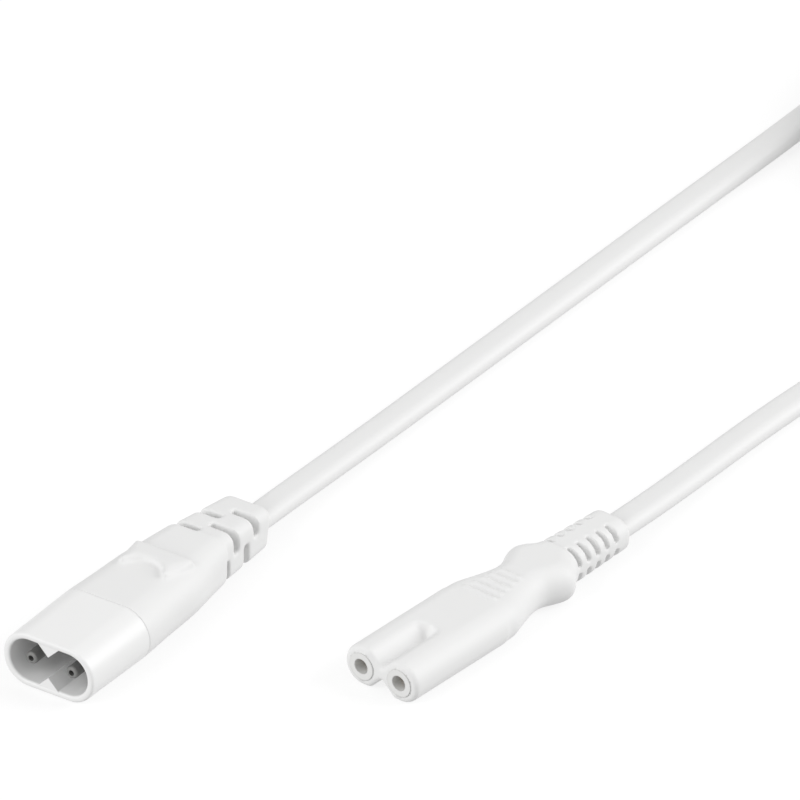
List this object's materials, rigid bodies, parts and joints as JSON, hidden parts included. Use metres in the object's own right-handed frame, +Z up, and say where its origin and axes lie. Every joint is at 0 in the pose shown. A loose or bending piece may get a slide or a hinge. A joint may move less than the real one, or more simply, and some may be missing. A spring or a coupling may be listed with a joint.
{
  "type": "figure eight power cord",
  "caption": "Flat two-core mains extension cord with a shrouded two-pin figure eight plug at one end and a two-hole figure eight socket connector at the other, spare length coiled",
  "frame": {"origin": "bottom centre of the box round the two connectors, on the surface they lie on", "axes": "+X to the right seen from the connectors' mouths, +Y along the connectors from mouth to cord, +Z up"},
  "size_m": [0.0807, 0.2999, 0.0126],
  "materials": {
    "shroud_white": "satin gloss",
    "grip_white": "satin",
    "cord_white": "satin",
    "tie_white": "satin",
    "insert_white": "satin",
    "pin_nickel": "plated, smooth",
    "contact_brass": "plain",
    "copper": "plain",
    "core_brown": "satin",
    "core_blue": "satin"
  },
  "bodies": {
    "root": {"plug_shell": "shroud_white", "plug_overmould": "grip_white", "plug_pin_left": "pin_nickel", "plug_pin_right": "pin_nickel", "plug_core_brown": "core_brown", "plug_core_blue": "core_blue", "plug_copper_brown": "copper", "plug_copper_blue": "copper", "socket_insert": "insert_white", "socket_overmould": "grip_white", "socket_contact_left": "contact_brass", "socket_contact_right": "contact_brass", "socket_core_brown": "core_brown", "socket_core_blue": "core_blue", "socket_copper_brown": "copper", "socket_copper_blue": "copper", "cord_plug_run": "cord_white", "cord_coil": "cord_white", "cord_socket_run": "cord_white", "cord_tie": "tie_white"}
  },
  "joints": []
}
